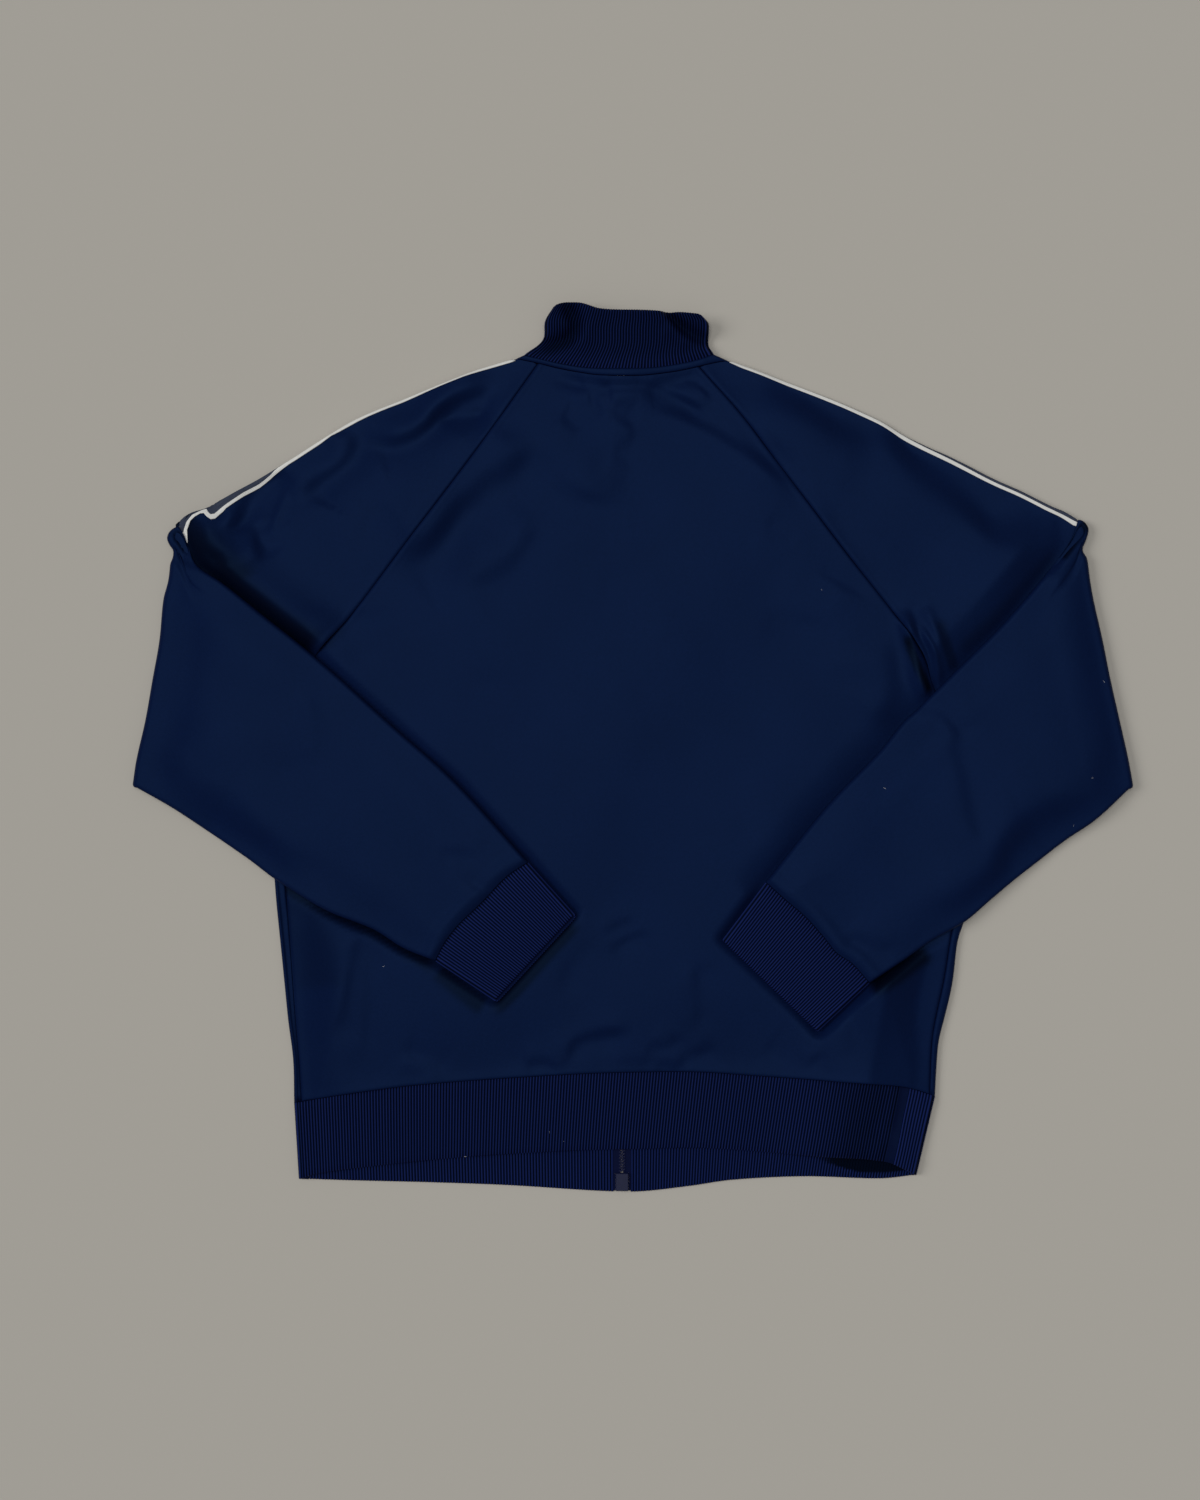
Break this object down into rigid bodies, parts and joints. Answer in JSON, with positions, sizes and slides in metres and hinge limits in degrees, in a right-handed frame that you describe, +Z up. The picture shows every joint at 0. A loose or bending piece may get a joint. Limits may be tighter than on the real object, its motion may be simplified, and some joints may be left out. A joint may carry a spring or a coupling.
{
  "type": "track jacket",
  "caption": "Zip-up knitted track jacket with raglan sleeves, ribbed stand collar, cuffs and hem, lying face down with its sleeves folded back over its back.",
  "frame": {"origin": "middle of the jacket's outline on the ground it lies on", "axes": "+X to the wearer's right, +Y towards the collar, +Z up, away from the ground"},
  "size_m": [0.7978, 0.7083, 0.0129],
  "materials": {
    "body_knit": "dense navy double-knit polyester, matt with a faint sheen",
    "rib_knit": "navy rib knit, raised ribs with dark furrows",
    "sleeve_tape": "woven slate tape with white edges",
    "zip_tape": "navy woven zip tape with moulded navy teeth",
    "zip_plastic": "dark moulded plastic, slightly glossy",
    "zip_metal": "grey lacquered die-cast metal"
  },
  "bodies": {
    "garment": {"back_panel": "body_knit", "front_left": "body_knit", "front_right": "body_knit", "sleeve_left": "body_knit", "sleeve_right": "body_knit", "sleeve_tape_left": "sleeve_tape", "sleeve_tape_right": "sleeve_tape", "neck_band": "body_knit", "collar": "rib_knit", "cuff_left": "rib_knit", "cuff_right": "rib_knit", "hem_back": "rib_knit", "hem_front_left": "rib_knit", "hem_front_right": "rib_knit", "zip_left": "zip_tape", "zip_right": "zip_tape", "zip_box": "zip_plastic", "zip_slider": "zip_metal"},
    "zip_pull": {"zip_pull": "zip_metal"}
  },
  "joints": [
    {"name": "pull_hinge", "type": "hinge", "parent": "garment", "child": "zip_pull", "pos_m": [-0.00865, 0.29717, 0.00145], "axis": [1, 0, 0], "range_deg": [0, 5]}
  ]
}
